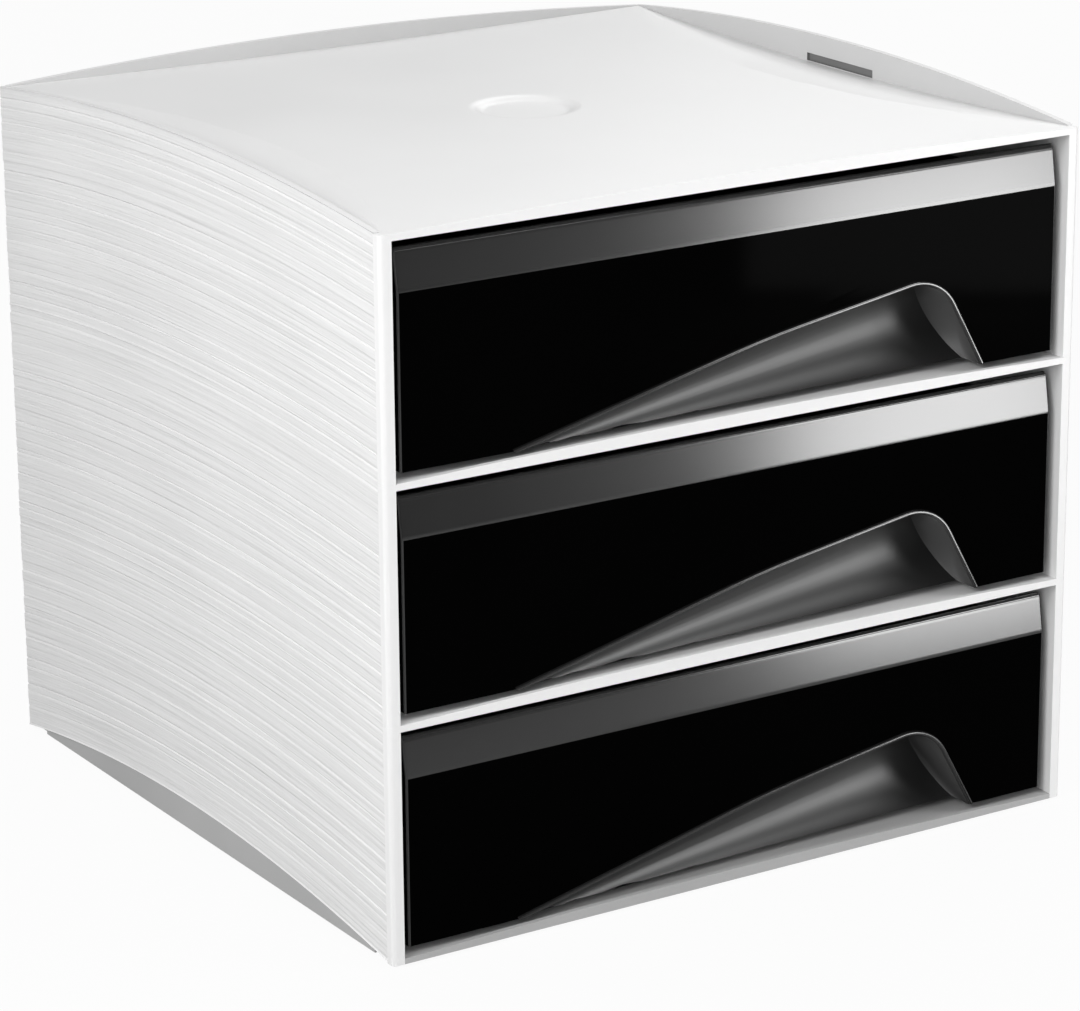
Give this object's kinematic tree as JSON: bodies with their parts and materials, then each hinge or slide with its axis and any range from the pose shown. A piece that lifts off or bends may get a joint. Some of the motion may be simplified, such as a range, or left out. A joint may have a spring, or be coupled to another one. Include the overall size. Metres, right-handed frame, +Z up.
{
  "type": "stacking desk drawer unit",
  "caption": "Square desktop stack of drawer modules with paper-leaf side panels, arched rims, glossy fronts with finger scoops and drawers that slide out.",
  "frame": {"origin": "centre of the footprint, on the surface the feet stand on", "axes": "+Z up; front with the drawers towards -Y; +X to the right of someone facing the front"},
  "size_m": [0.212, 0.208, 0.1942],
  "materials": {
    "housing_white": "smooth white moulded polystyrene, satin",
    "leaf_panel_white": "white moulded panel with fine irregular horizontal leaves",
    "base_grey": "grey moulded tray, matt",
    "front_gloss_black": "high gloss black moulding",
    "tray_black": "fine matt black moulding",
    "foot_rubber": "soft grey rubber pads"
  },
  "bodies": {
    "carcass": {"base_tray": "base_grey", "foot_front_left": "foot_rubber", "foot_front_right": "foot_rubber", "foot_rear_left": "foot_rubber", "foot_rear_right": "foot_rubber", "lower_housing": "housing_white", "lower_left_panel": "leaf_panel_white", "lower_right_panel": "leaf_panel_white", "lower_back_panel": "leaf_panel_white", "middle_housing": "housing_white", "middle_left_panel": "leaf_panel_white", "middle_right_panel": "leaf_panel_white", "middle_back_panel": "leaf_panel_white", "upper_housing": "housing_white", "upper_left_panel": "leaf_panel_white", "upper_right_panel": "leaf_panel_white", "upper_back_panel": "leaf_panel_white"},
    "lower_drawer": {"lower_tray": "tray_black", "lower_front": "front_gloss_black"},
    "middle_drawer": {"middle_tray": "tray_black", "middle_front": "front_gloss_black"},
    "upper_drawer": {"upper_tray": "tray_black", "upper_front": "front_gloss_black"}
  },
  "joints": [
    {"name": "lower_drawer_slide", "type": "slide", "parent": "carcass", "child": "lower_drawer", "axis": [0, -1, 0], "range_m": [0, 0.15]},
    {"name": "middle_drawer_slide", "type": "slide", "parent": "carcass", "child": "middle_drawer", "axis": [0, -1, 0], "range_m": [0, 0.15]},
    {"name": "upper_drawer_slide", "type": "slide", "parent": "carcass", "child": "upper_drawer", "axis": [0, -1, 0], "range_m": [0, 0.15]}
  ]
}
